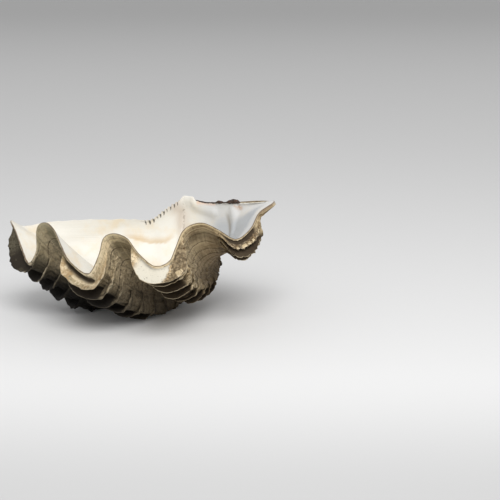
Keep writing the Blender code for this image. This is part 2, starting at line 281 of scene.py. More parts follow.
# Streaks on the outside that run across the growth lines
RIM_LENGTH = 900.0
STREAK_WIDTH = 3.5
STREAK_LENGTH = 45.0

# Depth of the fine relief
SHELL_RELIEF = 1.2
LIGAMENT_RELIEF = 0.8

# Colours as they look on a screen, 0 to 255
COLOURS = {
    "light left": (150, 141, 114),
    "light right": (186, 166, 130),
    "dull left": (120, 112, 86),
    "dull right": (130, 110, 78),
    "patch": (184, 166, 128),
    # Older, lower growth: darker partly by its own colour, partly as painted shade of the underside
    "old and shaded left": (44, 36, 24),
    "old and shaded right": (134, 114, 84),
    # Right-facing flanks of the ribs: a paler crust, partly painted light
    "pale and lit flank": (214, 194, 158),
    "crumb": (112, 94, 68),
    "crumb pit": (82, 64, 42),
    "right crust": (52, 42, 28),
    "growth line": (62, 50, 32),
    "growth stop": (50, 38, 24),
    "painted shade under rim": (72, 58, 38),
    "dark streak": (66, 53, 34),
    "light streak": (186, 168, 130),
    "light rim band": (206, 186, 146),
    "dark rim band": (92, 66, 38),
    "fine line": (82, 68, 44),
    "worn crust": (196, 176, 140),
    # Dark brown of the pockets under the scutes, deepened with painted shade
    "pocket": (48, 36, 22),
    # Painted shade in the hollow of the left cup
    "left cup": (34, 28, 19),
    "left side": (92, 86, 70),
    "left side grain": (64, 57, 42),
    "rough face": (176, 150, 112),
    "rough face patch": (226, 208, 174),
    "rough face pit": (84, 64, 42),
    "far right face": (122, 100, 72),
    "far right hole": (58, 44, 28),
    "fresh face": (212, 206, 190),
    "lip": (224, 208, 176),
    "grain": (48, 38, 24),
    # Painted shade on the lower parts of the outside
    "low": (32, 26, 17),
    "lowest": (16, 12, 8),
    "back edge": (226, 220, 204),
    "porcelain": (226, 223, 214),
    "cream cloud": (225, 213, 191),
    # Painted shade on the right of the inside, under the hinge
    "grey": (204, 204, 203),
    "deep grey": (170, 174, 178),
    "shade": (206, 195, 182),
    "scar": (204, 178, 138),
    # Painted shadow of the fold ridge in its crease
    "crease_shade": (146, 138, 124),
    "speck": (120, 104, 84),
    "rim line": (104, 78, 48),
    "orange": (214, 150, 92),
    "stain": (176, 128, 78),
    # Painted shade in the gaps between the teeth
    "notch_shade": (74, 70, 62),
    "ligament": (34, 24, 16),
    "ligament streak": (70, 44, 26),
    "ligament patch": (128, 78, 44),
}

# The curve between screen colours and light
SCREEN_FULL = 255
SCREEN_TOE = 0.04045
SCREEN_TOE_SLOPE = 12.92
SCREEN_OFFSET = 0.055
SCREEN_POWER = 2.4

# Floor, in metres: how far it reaches, and its grey under the shell, painted light that softens
# the shell's shadow, and darker far behind it and close in front of the camera as painted shade
FLOOR_REACH = 8.0
FLOOR_GREY = 0.72
BEHIND_GREY = 0.52
BEHIND_RANGE = (1.5, 6.5)
FRONT_GREY = 0.50
FRONT_RANGE = (-0.20, -0.54)
FLOOR_ROUGHNESS = 0.8

# Soft lamp and pale sky
LAMP_PLACE = Vector((0.20, -1.15, 1.5))
LAMP_TARGET = Vector((0.0, 0.0, 0.05))
LAMP_SIZE = 1.2
LAMP_POWER = 27.0
SKY_GREY = 0.95
SKY_STRENGTH = 0.66

# Where the photograph was taken from, in the drawing, and how far the camera is tilted down
CAMERA_PLACE = (128.0, -1455.44, 430.88)
CAMERA_TILT = 14
CAMERA_LENS = 90.76
CAMERA_SENSOR = 36.0


def blend(start, end, share):
    return start + (end - start) * share


def ease(start, end, value):
    """0 at start, 1 at end, smooth between. Start may be above end."""
    share = np.clip((value - start) / (end - start), 0, 1)
    return share * share * (3 - 2 * share)


def unit(vectors):
    return vectors / np.maximum(np.linalg.norm(vectors, axis=-1, keepdims=True), 1e-9)


def turned(vectors, axis, angle):
    """Vectors turned about an axis through the origin."""
    along = (vectors @ axis)[..., None] * axis
    return along + (vectors - along) * math.cos(angle) + np.cross(axis, vectors) * math.sin(angle)


def smooth_closed_curve(points, count):
    """Evenly spaced points on a smooth closed curve, and each given point's share of its length."""
    share = np.linspace(0, 1, CURVE_STEPS, endpoint=False)[:, None]
    pieces = []
    for i, start in enumerate(points):
        before = points[i - 1]
        end = points[(i + 1) % len(points)]
        after = points[(i + 2) % len(points)]
        bend = 2 * before - 5 * start + 4 * end - after
        twist = 3 * start - before - 3 * end + after
        pieces.append(start + 0.5 * ((end - before) * share + bend * share**2 + twist * share**3))
    fine = np.vstack(pieces + [pieces[0][:1]])
    length = np.append(0, np.cumsum(np.linalg.norm(np.diff(fine, axis=0), axis=1)))
    at = np.linspace(0, length[-1], count, endpoint=False)
    loop = np.stack([np.interp(at, length, fine[:, k]) for k in range(3)], axis=1)
    return loop, length[-1], length[:-1:CURVE_STEPS] / length[-1]


def smoothed_loop(loop, reach, length):
    """The closed loop without its waves shorter than the reach."""
    frequency = np.fft.fftfreq(len(loop), length / len(loop))
    kept = np.exp(-2 * (np.pi * frequency * reach) ** 2)
    return np.fft.ifft(np.fft.fft(loop, axis=0) * kept[:, None], axis=0).real


class Growth:
    """Rings of the growing shell, by station along the rim and distance from the rim."""

    def __init__(self):
        points = np.array([point for stretch in RIM.values() for point in stretch], float)
        self.rim, self.length, shares = smooth_closed_curve(points, RIM_STATIONS)
        self.stations = np.arange(RIM_STATIONS) / RIM_STATIONS
        self.start = {}
        self.middle = {}
        first = 0
        for name, stretch in RIM.items():
            lowest = min(range(len(stretch)), key=lambda i: stretch[i][2])
            self.start[name] = shares[first]
            self.middle[name] = shares[first + lowest]
            first += len(stretch)
        self.core = smoothed_loop(self.rim, FOLD_REACH, self.length)
        self.fold = self.rim - self.core
        self.hinge = self.between("hinge", "right tip", SHORT_CHANGE)
        steepness = -np.gradient(self.fold[:, 2]) * RIM_STATIONS / self.length
        self.flank = ease(*FLANK_STEEPNESS, steepness)
        self.flank = self.flank * (1 - self.between("left tip", "right tip", FRONT_CHANGE))
        low = self.middle["rib 1"]
        high = self.start["left tip"]
        self.left_flank = ease(low, low + SHORT_CHANGE, self.stations)
        self.left_flank = self.left_flank * ease(high, high - SHORT_CHANGE, self.stations)
        self.make_section()
        self.distances = np.arange(BEYOND_RIM, self.end, RING_STEP)
        self.rings = {}
        self.normals = {}
        for name, share in (("folded", 1.0), ("half folded", 0.5), ("smooth", 0.0)):
            rings = np.array([self.ring(distance, share) for distance in self.distances])
            self.rings[name] = rings
            self.normals[name] = self.outward(rings)

    def between(self, first, last, softness):
        """1 from the start of one stretch to the start of another, easing to 0 outside."""
        rise = ease(self.start[first] - softness, self.start[first] + softness, self.stations)
        fall = ease(self.start[last] - softness, self.start[last] + softness, self.stations)
        return rise * (1 - fall)

    def make_section(self):
        """The growth curve in section: angle and size by distance from the rim."""
        self.angle = np.linspace(GROWTH_START, GROWTH_END, SECTION_STEPS)
        curl = 1 - np.clip(self.angle / GROWTH_END, 0, 1) ** CURL_POWER
        self.size = np.exp(-self.angle / GROWTH_RATE) * curl
        across = GROWTH_RADIUS * self.size * np.cos(self.angle)
        down = GROWTH_RADIUS * self.size * np.sin(self.angle)
        steps = np.hypot(np.diff(across), np.diff(down))
        self.distance = np.append(0, np.cumsum(steps))
        self.distance -= np.interp(0, self.angle, self.distance)
        self.end = self.distance[-1]

    def ring(self, distance, fold_share):
        angle = np.interp(distance, self.distance, self.angle)
        size = np.interp(distance, self.distance, self.size)
        arms = (self.core - BEAK) * size + self.fold * fold_share * size**FOLD_POWER
        along = (arms @ HINGE_AXIS)[:, None] * HINGE_AXIS
        straight = self.hinge * ease(0, HINGE_EDGE, distance)
        arms = along + (arms - along) * (1 - straight[:, None])
        centre = BEAK + UMBO_SHIFT * distance / self.end
        return centre + turned(arms, HINGE_AXIS, angle)

    def outward(self, rings):
        inward_growth = np.gradient(rings, axis=0)
        along_rim = np.roll(rings, -NORMAL_STATIONS, axis=1)
        along_rim = along_rim - np.roll(rings, NORMAL_STATIONS, axis=1)
        return unit(np.cross(along_rim, inward_growth))

    def at(self, name, columns, distance):
        """Points and outward normals at one distance for each column."""
        place = np.clip((distance - self.distances[0]) / RING_STEP, 0, len(self.distances) - 1.001)
        ring = place.astype(int)
        share = (place - ring)[:, None]
        points = blend(self.rings[name][ring, columns], self.rings[name][ring + 1, columns], share)
        normals = blend(self.normals[name][ring, columns], self.normals[name][ring + 1, columns],
                        share)
        return points, unit(normals)


def waver(columns, spacing, seed):
    """Smooth random values from -1 to 1 round the rim, changing over the spacing in stations."""
    count = max(4, round(RIM_STATIONS / spacing))
    knots = np.random.default_rng(seed).uniform(-1, 1, count)
    place = columns / RIM_STATIONS * count
    knot = np.floor(place).astype(int)
    share = place - knot
    return blend(knots[knot % count], knots[(knot + 1) % count], share * share * (3 - 2 * share))


def waves(columns, table, turn=0):
    """The sum of the table's waves. Each turn has random values of its own."""
    return sum(height * waver(columns, spacing, seed + turn) for height, spacing, seed in table)


def lumps(points, size):
    """Smooth lumps in space, from -1 to 1, about three sizes apart."""
    x, y, z = points.T / size
    return np.sin(x + 1.6 * np.sin(0.7 * z)) * np.sin(1.2 * z + 1.4 * np.sin(0.8 * y))


def rib_values(growth, columns):
    """The numbers of the scute table for each column, easing from rib to rib."""
    ribs = sorted(SCUTES, key=lambda name: growth.middle[name])
    middles = [growth.middle[name] for name in ribs]
    values = [np.array(SCUTES[name], float)[:, None] for name in ribs]
    middles = middles + [middles[0] + 1]
    values = values + [values[0]]
    stations = growth.stations[columns]
    result = values[0] * np.ones(len(columns))
    for i in range(1, len(values)):
        change = (middles[i - 1] + middles[i]) / 2
        share = ease(change - SHORT_CHANGE, change + SHORT_CHANGE, stations)
        result = blend(result, values[i], share)
    return result


class Skin:
    """Rows of points with the values that the finish reads at each of them."""

    def __init__(self):
        self.rows = []
        self.values = []

    def add(self, points, **values):
        self.rows.append(points)
        self.values.append(values)


def rib_share(growth, columns, distance):
    """1 on the crest of the ribs and 0 on the tongues, on narrower ribs in older growth."""
    age = ease(0, RIB_NARROW_END, distance)
    low = RIB_FOLDS[0] + RIB_NARROWS[0] * age
    high = RIB_FOLDS[1] + RIB_NARROWS[1] * age
    share = ease(low, high, -growth.fold[columns, 2])
    tip = growth.between("left tip", "back edge", TIP_CHANGE)[columns]
    share = np.maximum(share, growth.left_flank[columns])
    back = growth.between("back edge", "right tip", LONG_CHANGE)
    bare = np.maximum(growth.hinge, back)[columns]
    return np.maximum(share, TIP_RIB * tip) ** RIB_ROUNDNESS * (1 - bare)


def outer_rows(growth, columns):
    """Rows of points from the rim over the scutes to the beak."""
    skin = Skin()
    stations = growth.stations[columns]
    flank = growth.flank[columns]
    cup = growth.left_flank[columns]
    right_side = ease(-SHORT_CHANGE, 0.0, stations - growth.start["right tip"])

    def add_row(distance, ledge, height, lip, pocket, crust, fresh=0.0, crumb=0.0):
        rib = rib_share(growth, columns, distance)
        points, _ = growth.at("folded", columns, distance)
        _, normals = growth.at("half folded", columns, distance)
        crusty = flank * ease(*FLANK_LUMP_RANGE, distance)
        crusty = np.maximum(crusty, rib * right_side * ease(*RIGHT_LUMP_RANGE, distance))
        raised = blend(ledge, height, rib) + LUMP_HEIGHT * crusty * lumps(points, LUMP_SIZE)
        points = points + normals * raised[:, None]
        open_face = rib * (1 - FLANK_SHADE_LOSS * flank)
        skin.add(points, inside=0.0, growth_distance=distance, lip=lip, pocket=pocket * open_face,
                 rib=rib, crust=crust * rib, fresh=fresh * rib, crumb=crumb * rib, flank=flank)

    level = np.zeros(len(columns))
    add_row(level, level, level, 1.0, 0.0, 0.0)
    root, first_reach, first_lean, pitch, full_reach, gain, pale = rib_values(growth, columns)
    first_reach = first_reach + LEFT_CUP * cup
    paleness = blend(1.0, PALE_FACE, ease(*PALE_FACE_RANGE, pale))
    filled = level
    for k in range(SCUTE_ROWS):
        wear = 1 - SCUTE_WEAR * ease(*WEAR_RANGE, root)
        reach = first_reach if k == 0 else (full_reach + gain * min(k - 1, SCUTE_GAINS)) * wear
        reach = reach * (1 + waves(columns, REACH_WAVES, k))
        shift = waves(columns, DISTANCE_WAVES, k)
        fill = CRUST_FILL * ease(CRUST_START, CRUST_END, root)
        fill = np.maximum(fill, FLANK_FILL * flank * ease(0, CRUST_END, root))
        rib = rib_share(growth, columns, root)
        for row, (ledge, lean, height) in enumerate(SCUTE_SECTION):
            pocket = 1.0 if row < LIP_ROW else 0.0
            leaning = lean * reach
            if k == 0:
                leaning = min(height, 1.0) * first_lean + max(lean, 0.0) * reach
            if pocket:
                up = blend(filled, reach, height)
            else:
                up = np.maximum(height, fill) * reach
            lip = LIP_VALUES.get(row, 0.0) * (1 - cup)
            begun = height + PALE_CHANGE * (pale == 0)
            fresh = pocket * (k == 0) * ease(pale - PALE_CHANGE, pale + PALE_CHANGE, begun)
            fresh = fresh * paleness
            # Rows under the lip are dark brown with painted shade, except on the pale face
            dark = pocket * (1 - fresh)
            beyond = stations - growth.start["rib 3"] + PALE_SLANT * (1 - height)
            crumb = fresh * ease(*PALE_END[::-1], beyond)
            at_lip = row in LIP_VALUES
            rough = at_lip * blend(ROUGH_LIP, ROUGH_RIGHT_LIP, right_side)
            rough = blend(rough, ROUGH_FLANK, flank * ease(*ROUGH_FLANK_RANGE, root))
            rough = blend(rough, ROUGH_CUP, at_lip * cup)
            up = up + rough * waver(columns, ROUGH_SPACING, ROUGH_SEED + SEEDS_PER_SCUTE * k + row)
            add_row(root + shift + blend(ledge, leaning, rib), LEDGE_HEIGHT * (LEDGE_START < height),
                    up, lip, dark, 1.0 - pocket, fresh - crumb, crumb)
        filled = fill * reach
        root = root + pitch * (1 + SCUTE_SPREAD * k)
    for share in np.linspace(0, 1, UMBO_ROWS + 2)[1:-1]:
        distance = blend(root - UMBO_OVERLAP, growth.end - UMBO_END, share)
        add_row(distance, level, level, 0.0, 0.0, 1.0)
    return skin


def tooth(growth, columns):
    """1 in the gaps between the teeth of the gape, 0 on the teeth."""
    count = (growth.stations[columns] - growth.start["gape"]) * growth.length / TOOTH_PITCH
    count = count + TEETH_BEFORE_GAPE
    gap = ease(0.0, TOOTH_GAP, np.cos(2 * np.pi * count))
    return gap * ease(*TEETH_START, count) * ease(TEETH + TEETH_FADE, TEETH, count)


def near_path(points, path, reach):
    """1 on the path through the given points, easing to 0 at the reach from it."""
    nearest = np.full(len(points), np.inf)
    for start, end in zip(np.array(path[:-1], float), np.array(path[1:], float)):
        along = end - start
        share = np.clip((points - start) @ along / (along @ along), 0, 1)
        away = np.linalg.norm(points - start - share[:, None] * along, axis=1)
        nearest = np.minimum(nearest, away)
    return ease(reach, 0.0, nearest)


def refine(growth, columns, skin, swells):
    """Adds the swellings, the teeth and the unevenness of the rim to the rows."""
    gap = tooth(growth, columns)
    back = growth.between("left tip", "hinge", SHORT_CHANGE)[columns]
    uneven = back * waves(columns, BACK_WAVES)
    for points, values in zip(skin.rows, skin.values):
        away = np.abs(values["growth_distance"])
        points[:, 2] += np.exp(-away / TOOTH_RUN) * (uneven - TOOTH_DEPTH * gap)
        # Where painted shade lies in the gaps between the teeth
        values["notch_shade"] = gap * ease(*NOTCH_RANGE, away)
        for start, end, reach, shift in swells:
            points += near_path(points, (start, end), reach)[:, None] * np.array(shift)


def mark(growth, columns, skin, inside):
    """Gives each row its nearness to the marks of the inside, and the front edge of the rim."""
    front = 1 - growth.between("left tip", "right tip", FRONT_CHANGE)[columns]
    left_cup = growth.between("rib 1", "left tip", SHORT_CHANGE)[columns]
    start, end = growth.middle["rib 1"] + np.array(LEFT_SIDE_START)
    high = growth.start["back edge"]
    left_side = ease(start, end, growth.stations)
    left_side = (left_side * ease(high, high - SHORT_CHANGE, growth.stations))[columns]
    edge_x, edge_z = zip(*SCAR_EDGE)
    for points, values in zip(skin.rows, skin.values):
        values["front"] = front
        values["left_cup"] = left_cup
        values["left_side"] = left_side
        for name, (path, reach) in MARKS.items():
            values[name] = near_path(points, path, reach)
        x, y, z = points.T
        above = z - np.interp(x, edge_x, edge_z)
        scar = ease(*SCAR_SHARPNESS, above) * ease(*SCAR_WIDTH, above) * ease(*SCAR_BACK, y)
        ends = ease(edge_x[0], edge_x[1], x) * ease(edge_x[-1], edge_x[-2], x)
        values["scar"] = inside * scar * ends


def tube_faces(rings, sides):
    """Faces between closed rings of points that follow one another."""
    faces = []
    for ring in range(rings - 1):
        for side in range(sides):
            near = ring * sides + side
            beside = ring * sides + (side + 1) % sides
            faces.append((near, beside, beside + sides, near + sides))
    return faces


def outer_skin(growth, columns):
    """The outside without its scutes, as a tree that answers for the nearest point."""
    rings = growth.rings["folded"][::TREE_RINGS, columns]
    faces = tube_faces(len(rings), len(columns))
    return BVHTree.FromPolygons(rings.reshape(-1, 3).tolist(), faces)


def keep_wall(points, wall, skin):
    """Moves points inward until each has the wall between it and the outside."""
    kept = []
    for point in points:
        place = Vector(point)
        nearest, outward, _, _ = skin.find_nearest(place)
        depth = (nearest - place).length
        if (nearest - place).dot(outward) < 0:
            depth = -depth
        if depth < wall:
            place = nearest - outward * wall
        kept.append(place)
    return np.array(kept)


def inner_rows(growth, columns):
    """Rows of points from the rim down the inside to the middle of the bowl."""
    tree = outer_skin(growth, np.arange(0, RIM_STATIONS, TREE_STATIONS))
    back = growth.between("back edge", "rib 4", BACK_CHANGE)[columns][:, None]
    rim = growth.rim[columns]
    rows = []
    for share in np.linspace(0, 1, INNER_ROWS, endpoint=False) ** INNER_ROW_POWER:
        reach = BOWL_REACH * share
        distance = np.full(len(columns), reach)
        folded, folded_normals = growth.at("folded", columns, distance)
        smooth, smooth_normals = growth.at("smooth", columns, distance)
        smoothing = ease(*FOLDS_FADE, reach)
        wall = RIM_WALL + NEAR_WALL * ease(*NEAR_RANGE, reach)
        wall += DEEP_WALL * ease(*DEEP_RANGE, reach)
        normals = unit(blend(folded_normals, smooth_normals, smoothing))
        front = blend(folded, smooth, smoothing) - normals * wall
        front = blend(front, BOWL_MIDDLE, ease(*BOWL_TURN, share) ** BOWL_TURN_POWER)
        inward = share**BACK_INWARD_POWER
        downward = 1 - (1 - share) ** BACK_DOWNWARD_POWER
        steep = blend(rim, BOWL_MIDDLE, np.array((inward, inward, downward)))
        points = blend(front, steep, back * ease(*BACK_STEEP_RANGE, share))
        for _ in range(WALL_PASSES):
            points = keep_wall(points, wall * blend(1.0, LEAST_WALL, share), tree)
        rows.append(points)
    rows = smoothed_rows(np.array(rows))
    skin = Skin()
    walked = np.zeros(len(columns))
    for i, points in enumerate(rows):
        if i:
            walked = walked + np.linalg.norm(points - rows[i - 1], axis=1)
        skin.add(points, inside=1.0, growth_distance=walked, lip=0.0, pocket=0.0, rib=0.0,
                 crust=0.0, fresh=0.0, crumb=0.0, flank=0.0)
    return skin


def smoothed_rows(rows):
    """Rows with each point drawn toward its neighbours, more so away from the rim."""
    strength = ease(*SMOOTHING_RANGE, np.arange(len(rows)) / len(rows))[1:-1, None, None]
    for _ in range(SMOOTHING_PASSES):
        beside = np.roll(rows, 1, axis=1) + np.roll(rows, -1, axis=1)
        middle = (rows[:-2] + rows[2:] + beside[1:-1]) / 4
        rows[1:-1] = blend(rows[1:-1], middle, SMOOTHING_STRENGTH * strength)
    return list(rows)


def rim_columns(growth):
    """Stations of the mesh columns, wider apart on the plain back edge."""
    teeth_start = growth.start["gape"] - TEETH_LEAD
    plain = growth.between("left tip", "gape", SHORT_CHANGE)
    plain = plain * ease(teeth_start, teeth_start - SHORT_CHANGE, growth.stations)
    share = np.cumsum(blend(1.0, BACK_SPACING, plain))
    wanted = (np.arange(COLUMNS) + 0.5) / COLUMNS
    return np.searchsorted(share / share[-1], wanted)


def placed(points):
    """Points of the drawing in the part's frame, in metres."""
    return (points - ORIGIN) * MM


def add_value(mesh, name, values):
    attribute = mesh.attributes.new(name, "FLOAT", "POINT")
    attribute.data.foreach_set("value", values.astype(np.float32))


def add_object(name, places, faces, material):
    """An object of the points, given in metres, and the faces, which all face outward."""
    mesh = bpy.data.meshes.new(name)
    mesh.from_pydata(places.tolist(), [], faces)
    mesh.shade_smooth()
    mesh.materials.append(material)
    thing = bpy.data.objects.new(name, mesh)
    bpy.context.scene.collection.objects.link(thing)
    return thing


def add_valve(growth):
    columns = rim_columns(growth)
    outside = outer_rows(growth, columns)
    inside = inner_rows(growth, columns)
    refine(growth, columns, outside, SWELLS + OUTER_SWELLS)
    refine(growth, columns, inside, SWELLS)
    mark(growth, columns, outside, 0.0)
    mark(growth, columns, inside, 1.0)
    rows = outside.rows[::-1] + inside.rows
    values = outside.values[::-1] + inside.values
    count = len(columns)
    places = np.vstack([outside.rows[-1].mean(axis=0)[None], np.vstack(rows), BOWL_MIDDLE[None]])
    places = placed(places)
    places[:, 2] = np.maximum(places[:, 2], 0.0)
    last = len(places) - 1
    faces = []
    for j in range(count):
        k = (j + 1) % count
        faces.append((0, 1 + j, 1 + k))
        for i in range(len(rows) - 1):
            near = 1 + i * count
            far = near + count
            faces.append((near + j, far + j, far + k, near + k))
        faces.append((last, last - count + k, last - count + j))
    valve = add_object("clam_valve", places, faces, ShellFinish().material)
    for name in values[0]:
        flat = np.array([value[name] * np.ones(count) for value in values]).ravel()
        add_value(valve.data, name, np.concatenate([flat[:1], flat, flat[-1:]]))
    station = np.tile(growth.stations[columns], len(rows))
    add_value(valve.data, "station", np.concatenate([[0.0], station, [0.0]]))
    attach(valve, "root")
    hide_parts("valve")


def tint(name):
    """A named colour in the values that the shader takes."""
    parts = np.array(COLOURS[name]) / SCREEN_FULL
    curved = ((parts + SCREEN_OFFSET) / (1 + SCREEN_OFFSET)) ** SCREEN_POWER
    parts = np.where(parts < SCREEN_TOE, parts / SCREEN_TOE_SLOPE, curved)
    return (*parts.tolist(), 1.0)


def grey(value):
    return (value, value, value, 1.0)


class Finish:
    """A material with short calls that add nodes to it. Sizes are in millimetres."""

    def __init__(self, name):
        self.material = bpy.data.materials.new(name)
        self.material.use_nodes = True
        self.tree = self.material.node_tree
        self.shader = self.tree.nodes["Principled BSDF"]
        self.place = self.add("ShaderNodeTexCoord").outputs["Object"]

    def feed(self, socket, value):
        """Gives a socket another one's output, a colour by its name or a plain value."""
        if isinstance(value, bpy.types.NodeSocket):
            self.tree.links.new(value, socket)
        elif isinstance(value, str):
            socket.default_value = tint(value)
        else:
            socket.default_value = value

    def give(self, name, value):
        self.feed(self.shader.inputs[name], value)

    def add(self, kind, **inputs):
        node = self.tree.nodes.new(kind)
        for name, value in inputs.items():
            self.feed(node.inputs[name], value)
        return node

    def value(self, name):
        node = self.add("ShaderNodeAttribute")
        node.attribute_name = name
        return node.outputs["Fac"]

    def axis(self, name):
        """The place along X, Y or Z, in metres."""
        return self.add("ShaderNodeSeparateXYZ", Vector=self.place).outputs[name]

    def math(self, operation, first, *others):
        """The operation on the first value with each of the others in turn."""
        for other in others:
            node = self.add("ShaderNodeMath")
            node.operation = operation
            self.feed(node.inputs[0], first)
            self.feed(node.inputs[1], other)
            first = node.outputs[0]
        return first

    def times(self, *values):
        return self.math("MULTIPLY", *values)

    def plus(self, *values):
        return self.math("ADD", *values)

    def rest(self, value):
        """What the value leaves of 1."""
        return self.math("SUBTRACT", 1.0, value)

    def rise(self, value, start, end):
        """0 where the value is below start, 1 above end, smooth between. Start may be above end."""
        node = self.add("ShaderNodeMapRange", Value=value)
        node.interpolation_type = "SMOOTHSTEP"
        self.feed(node.inputs["From Min"], start)
        self.feed(node.inputs["From Max"], end)
        return node.outputs["Result"]

    def noise(self, size, detail=4.0, roughness=0.6):
        """Cloudy values about 0.5, with features of the size."""
        node = self.add("ShaderNodeTexNoise", Vector=self.place, Scale=1 / (size * MM),
                        Detail=detail, Roughness=roughness)
        return node.outputs["Fac"]

    def lines(self, value, size, detail=3.0, roughness=0.6):
        """Bands along one value, uneven as growth is."""
        node = self.add("ShaderNodeTexNoise", Scale=1 / size, Detail=detail, Roughness=roughness)
        node.noise_dimensions = "1D"
        self.feed(node.inputs["W"], value)
        return node.outputs["Fac"]

    def mix(self, share, first, second):
        """A colour between two others."""
        node = self.add("ShaderNodeMix")
        node.data_type = "RGBA"
        colours = [socket for socket in node.inputs if socket.type == "RGBA"]
        self.feed(node.inputs[0], share)
        self.feed(colours[0], first)
        self.feed(colours[1], second)
        return next(socket for socket in node.outputs if socket.type == "RGBA")

    def coat(self, ground, colour, *shares):
        """The ground under a coat of the colour, as dense as the product of the shares."""
        return self.mix(self.times(*shares), ground, colour)

    def bump(self, height, depth):
        """Relief of the depth."""
        node = self.add("ShaderNodeBump", Height=height, Distance=depth * MM)
        self.give("Normal", node.outputs["Normal"])


class ShellFinish(Finish):
    """The shell: dull and banded by growth outside, porcelain inside.

    Growth is in millimetres from the rim, places across and up are in metres, and the other
    ranges are of values from 0 to 1. Coats lie in the order in which they come.
    """

    def __init__(self):
        super().__init__("giant clam shell")
        inside = self.value("inside")
        self.grown = self.value("growth_distance")
        self.front = self.value("front")
        self.flank = self.value("flank")
        self.fresh = self.value("fresh")
        self.cloud = self.noise(26)
        self.patches = self.noise(9, 5)
        self.grain = self.noise(2.2, 6, 0.7)
        self.pits = self.rise(self.noise(2.6, 6, 0.8), 0.49, 0.57)
        self.wander = self.plus(self.grown, self.times(self.noise(14, 3), 5.0))
        self.bands = self.lines(self.wander, 7.0, 5.0, 0.75)

        self.across = self.axis("X")
        self.right = self.rise(self.across, -0.10, 0.08)
        self.left = self.rest(self.right)
        self.middle = self.rise(self.across, -0.12, -0.05)
        self.far_right = self.rise(self.across, 0.085, 0.115)

        # Older growth, lower on the outside; its darker coat is partly painted shade of the
        # underside
        self.old = self.rise(self.plus(self.grown, self.times(self.left, 32.0)), 30.0, 95.0)
        self.crumb = self.rise(self.value("crumb"), 0.05, 0.35)
        crumbled = self.times(self.flank, self.middle, self.rise(self.grown, 9.0, 22.0), 0.40)
        self.crumbled = self.plus(crumbled, self.times(self.crumb, 0.55))
        pitted = self.rise(self.noise(4, 5, 0.7), 0.40, 0.52)
        # Paler on the right-facing flanks: partly the crust's own colour, partly painted light
        self.pale_and_lit_flank = self.times(self.flank, self.plus(0.30, self.times(self.middle, 0.6)),
                                     self.rise(self.grown, 130.0, 50.0),
                                     self.plus(0.25, self.times(pitted, 0.75)))

        outer = self.outer_ground()
        outer = self.growth_lines(outer)
        outer = self.scute_faces(outer)
        outer = self.low_parts(outer)
        colour = self.mix(inside, outer, self.inner())
        # Painted shade in the gaps between the teeth of the gape
        gap_shade = self.rise(self.value("notch_shade"), 0.4, 0.8)
        self.give("Base Color", self.coat(colour, "notch_shade", gap_shade, 0.85))
        self.give("Roughness", self.roughness(inside))
        self.bump(self.relief(inside), SHELL_RELIEF)
        self.give("Specular IOR Level", 0.35)

    def outer_ground(self):
        """Olive grey on the left, browner to the right, darker in older growth, partly painted
        shade.
        """
        light = self.mix(self.right, "light left", "light right")
        dull = self.mix(self.right, "dull left", "dull right")
        aged_and_shaded = self.mix(self.right, "old and shaded left", "old and shaded right")
        outer = self.mix(self.rise(self.cloud, 0.35, 0.65), light, dull)
        outer = self.coat(outer, "patch", self.rise(self.patches, 0.52, 0.76))
        outer = self.coat(outer, aged_and_shaded, self.old, 0.9)
        outer = self.coat(outer, "pale and lit flank", self.pale_and_lit_flank)
        outer = self.coat(outer, "crumb", self.crumb, 0.6)
        outer = self.coat(outer, "crumb pit", self.crumbled, self.pits)
        return self.coat(outer, "right crust", self.rise(self.across, 0.085, 0.100),
                         self.rise(self.grown, 26.0, 44.0), self.rise(self.patches, 0.36, 0.52),
                         0.75)

    def growth_lines(self, outer):
        """Growth lines and stops, painted shade under the rim, bands near the rim and streaks across
        them.
        """
        outer = self.coat(outer, "growth line", self.rise(self.bands, 0.47, 0.36), 0.28)
        drift = self.plus(self.grown, self.times(self.noise(40, 2), 7.0))
        stop = self.rise(self.math("PINGPONG", self.plus(drift, -2.0), 9.8), 0.9, 0.3)
        outer = self.coat(outer, "growth stop", stop, self.rise(self.noise(18), 0.34, 0.50), 0.85)
        # Painted shade under the overhanging rim on the right, in a band down from it
        outer = self.coat(outer, "painted shade under rim", self.rise(self.grown, 11.0, 18.0),
                          self.rise(self.grown, 40.0, 24.0), self.right,
                          self.rise(self.flank, 0.6, 0.2), 0.5)
        round_rim = self.times(self.value("station"), RIM_LENGTH / STREAK_WIDTH)
        down = self.times(self.grown, 1 / STREAK_LENGTH)
        place = self.add("ShaderNodeCombineXYZ", X=round_rim, Y=down).outputs["Vector"]
        streaks = self.add("ShaderNodeTexNoise", Vector=place, Scale=1.0, Detail=4.0,
                           Roughness=0.65).outputs["Fac"]
        outer = self.coat(outer, "dark streak", self.rise(streaks, 0.52, 0.66), 0.45)
        outer = self.coat(outer, "light streak", self.rise(streaks, 0.46, 0.34), 0.35)
        near_rim = self.times(self.rise(self.grown, 16.0, 3.0), self.right)
        rim_bands = self.lines(self.wander, 2.4, 2.0, 0.6)
        outer = self.coat(outer, "light rim band", near_rim, self.rise(rim_bands, 0.50, 0.58))
        outer = self.coat(outer, "dark rim band", near_rim, self.rise(rim_bands, 0.46, 0.38))
        fine_line = self.rise(self.lines(self.wander, 1.6, 3.0, 0.7), 0.50, 0.36)
        return self.coat(outer, "fine line", fine_line, 0.2)

    def scute_faces(self, outer):
        """Worn crust, dark pockets and the left cup with painted shade, pale faces and light lips.
        """
        left_cup = self.value("left_cup")
        left_side = self.value("left_side")
        outer = self.coat(outer, "worn crust", self.value("crust"),
                          self.rise(self.patches, 0.42, 0.60), self.rise(self.old, 0.8, 0.1),
                          self.rest(left_cup), 0.7)
        # Dark brown in the pockets under the scutes, deepened with painted shade
        outer = self.coat(outer, "pocket", self.rise(self.value("pocket"), 0.15, 0.7), 0.94)
